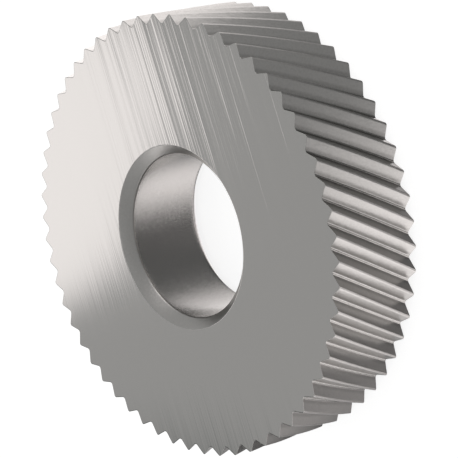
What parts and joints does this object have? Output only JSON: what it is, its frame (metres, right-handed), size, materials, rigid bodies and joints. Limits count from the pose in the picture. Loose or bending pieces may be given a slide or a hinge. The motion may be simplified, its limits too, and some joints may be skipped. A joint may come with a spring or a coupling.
{
  "type": "knurling wheel",
  "caption": "Small hardened steel roller with helical V-shaped teeth round its rim and a chamfered centre bore, pressed against turning work to roll a diagonal knurl.",
  "frame": {"origin": "on the bore's axis, in the plane of the back face, at the bottom centre of the part", "axes": "+Z along the bore, out of the front face; +X through the middle of a tooth's tip at the back face"},
  "size_m": [0.0214, 0.0214, 0.005],
  "materials": {
    "tool_steel": "ground tool steel, straight fine grinding marks across the flat faces, satin teeth and bore"
  },
  "bodies": {
    "root": {"knurling_wheel": "tool_steel"}
  },
  "joints": []
}
